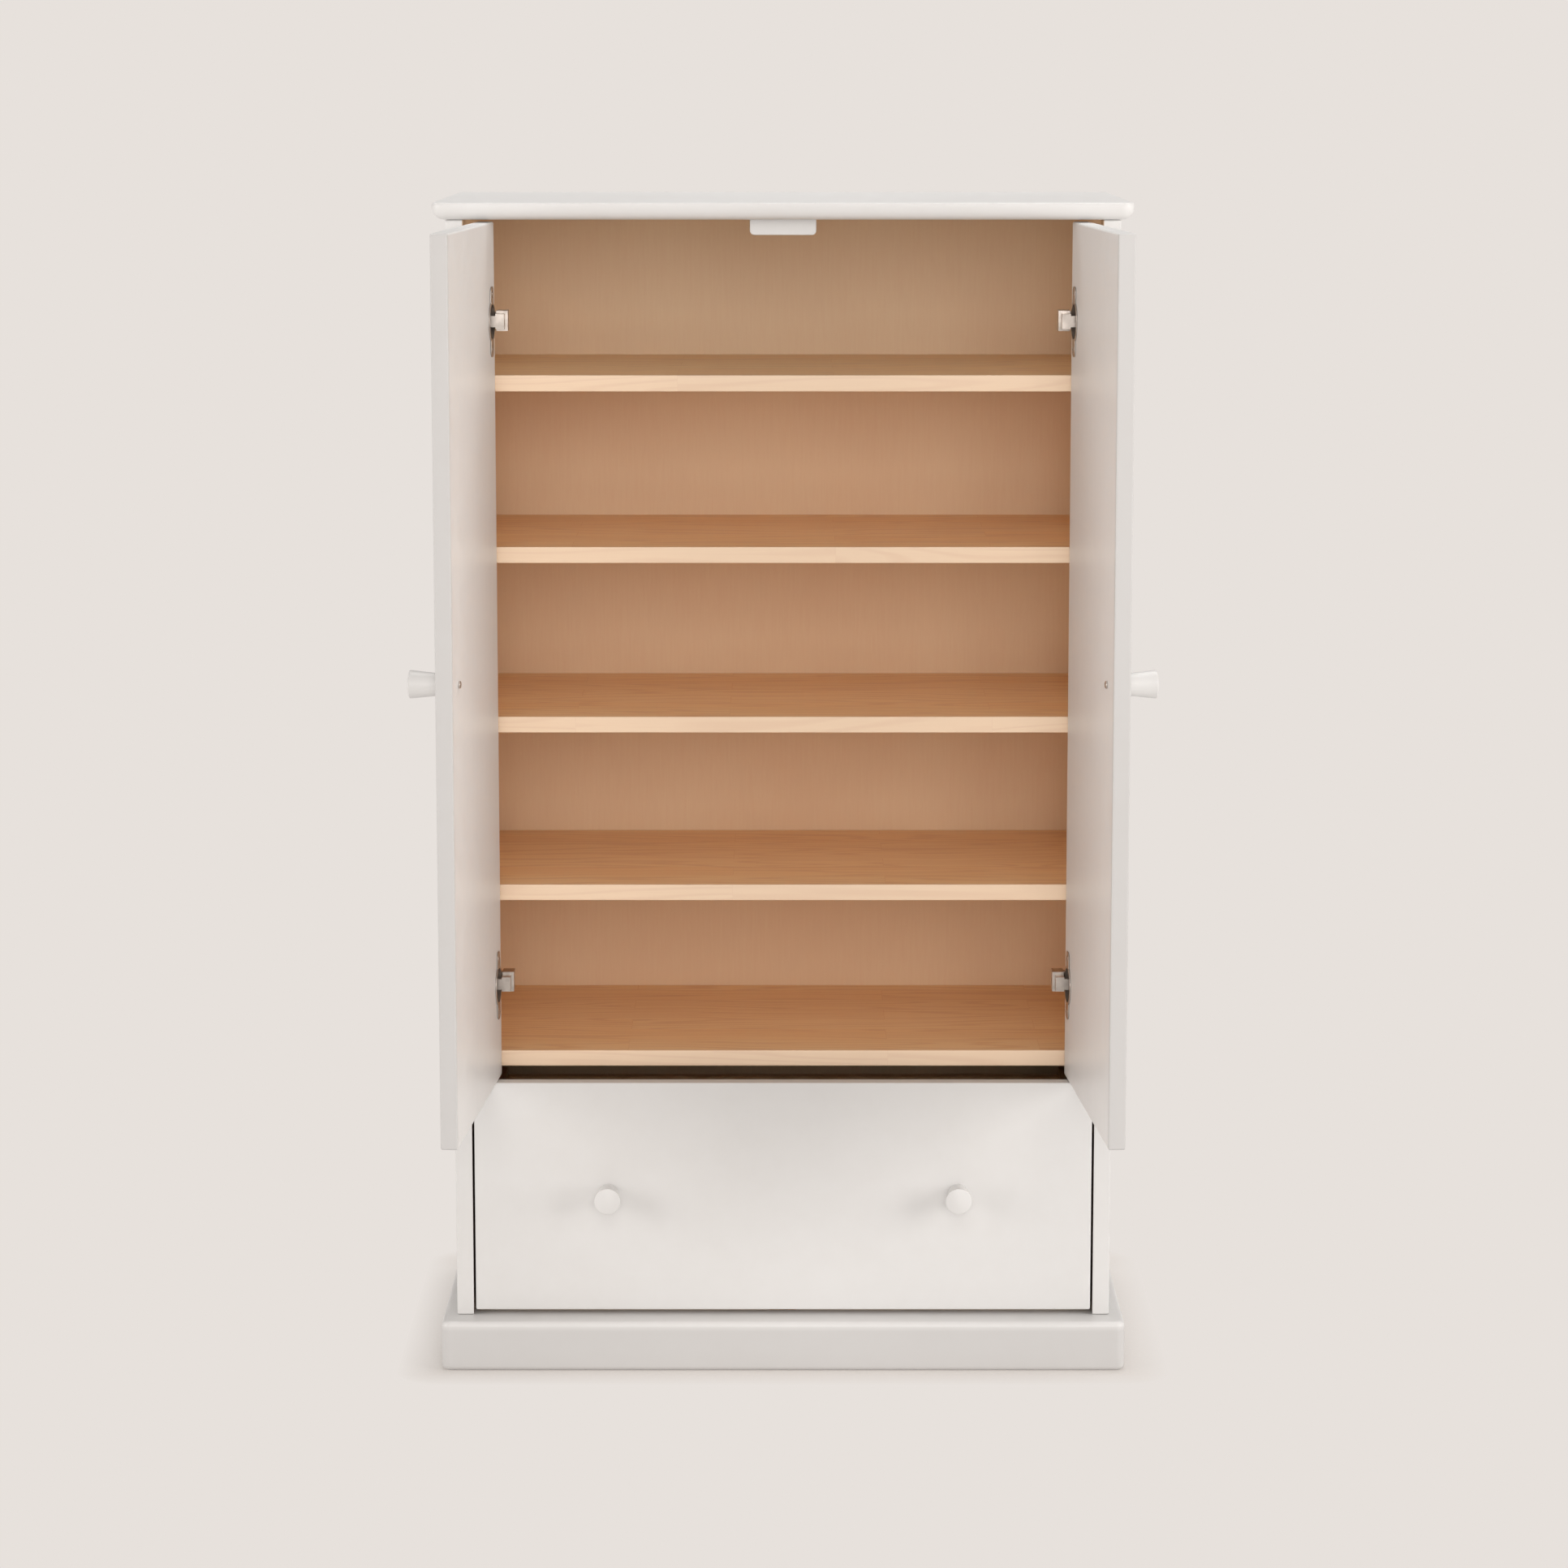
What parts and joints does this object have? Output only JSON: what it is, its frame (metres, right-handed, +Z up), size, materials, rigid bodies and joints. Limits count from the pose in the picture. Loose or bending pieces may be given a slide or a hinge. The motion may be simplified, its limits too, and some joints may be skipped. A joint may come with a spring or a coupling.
{
  "type": "armoire",
  "caption": "small free-standing armoire: a painted carcass on a projecting plinth, with pine shelves behind a pair of slab doors on concealed hinges, and one wide drawer below",
  "frame": {"origin": "on the floor, under the middle of the carcass's width and depth; it is the mount 'floor', on the underside of the plinth's centre bearer", "axes": "+X to the right seen from the front, +Y to the back, +Z up"},
  "size_m": [0.775, 0.6982, 1.293],
  "materials": {
    "white_paint": "satin white paint",
    "pine": "clear satin lacquer",
    "back_board": "smooth tan faced board",
    "drawer_box": "unpainted, sanded",
    "hardwood": "waxed",
    "nickel": "satin nickel plate"
  },
  "bodies": {
    "carcass": {"top_panel": "white_paint", "side_left": "white_paint", "side_right": "white_paint", "back_panel": "back_board", "base_panel": "drawer_box", "compartment_floor": "pine", "shelf_1": "pine", "shelf_2": "pine", "shelf_3": "pine", "shelf_4": "pine", "door_stop": "white_paint", "plinth_front": "white_paint", "plinth_left": "white_paint", "plinth_right": "white_paint", "plinth_back": "drawer_box", "plinth_bearer": "drawer_box", "shelf_pin_1_front_left": "nickel", "shelf_pin_1_back_left": "nickel", "shelf_pin_1_front_right": "nickel", "shelf_pin_1_back_right": "nickel", "shelf_pin_2_front_left": "nickel", "shelf_pin_2_back_left": "nickel", "shelf_pin_2_front_right": "nickel", "shelf_pin_2_back_right": "nickel", "shelf_pin_3_front_left": "nickel", "shelf_pin_3_back_left": "nickel", "shelf_pin_3_front_right": "nickel", "shelf_pin_3_back_right": "nickel", "shelf_pin_4_front_left": "nickel", "shelf_pin_4_back_left": "nickel", "shelf_pin_4_front_right": "nickel", "shelf_pin_4_back_right": "nickel", "hinge_arm_left_lower": "nickel", "hinge_arm_left_upper": "nickel", "hinge_arm_right_lower": "nickel", "hinge_arm_right_upper": "nickel", "hinge_plate_left_lower": "nickel", "hinge_plate_left_upper": "nickel", "hinge_plate_right_lower": "nickel", "hinge_plate_right_upper": "nickel", "drawer_runner_left": "hardwood", "drawer_runner_right": "hardwood"},
    "door_left": {"door_left": "white_paint", "door_knob_left": "white_paint", "knob_screw_left": "nickel", "hinge_cup_left_lower": "nickel", "hinge_cup_left_upper": "nickel"},
    "door_right": {"door_right": "white_paint", "door_knob_right": "white_paint", "knob_screw_right": "nickel", "hinge_cup_right_lower": "nickel", "hinge_cup_right_upper": "nickel"},
    "drawer": {"drawer_front": "white_paint", "drawer_side_left": "drawer_box", "drawer_side_right": "drawer_box", "drawer_back": "drawer_box", "drawer_bottom": "drawer_box", "drawer_knob_left": "white_paint", "drawer_knob_right": "white_paint"}
  },
  "joints": [
    {"name": "door_left_hinge", "type": "hinge", "parent": "carcass", "child": "door_left", "pos_m": [-0.324, -0.1835, 0.79825], "axis": [0, 0, 1], "range_deg": [0, 94]},
    {"name": "door_right_hinge", "type": "hinge", "parent": "carcass", "child": "door_right", "pos_m": [0.324, -0.1835, 0.79825], "axis": [0, 0, -1], "range_deg": [0, 94]},
    {"name": "drawer_slide", "type": "slide", "parent": "carcass", "child": "drawer", "axis": [0, -1, 0], "range_m": [0, 0.26]}
  ]
}
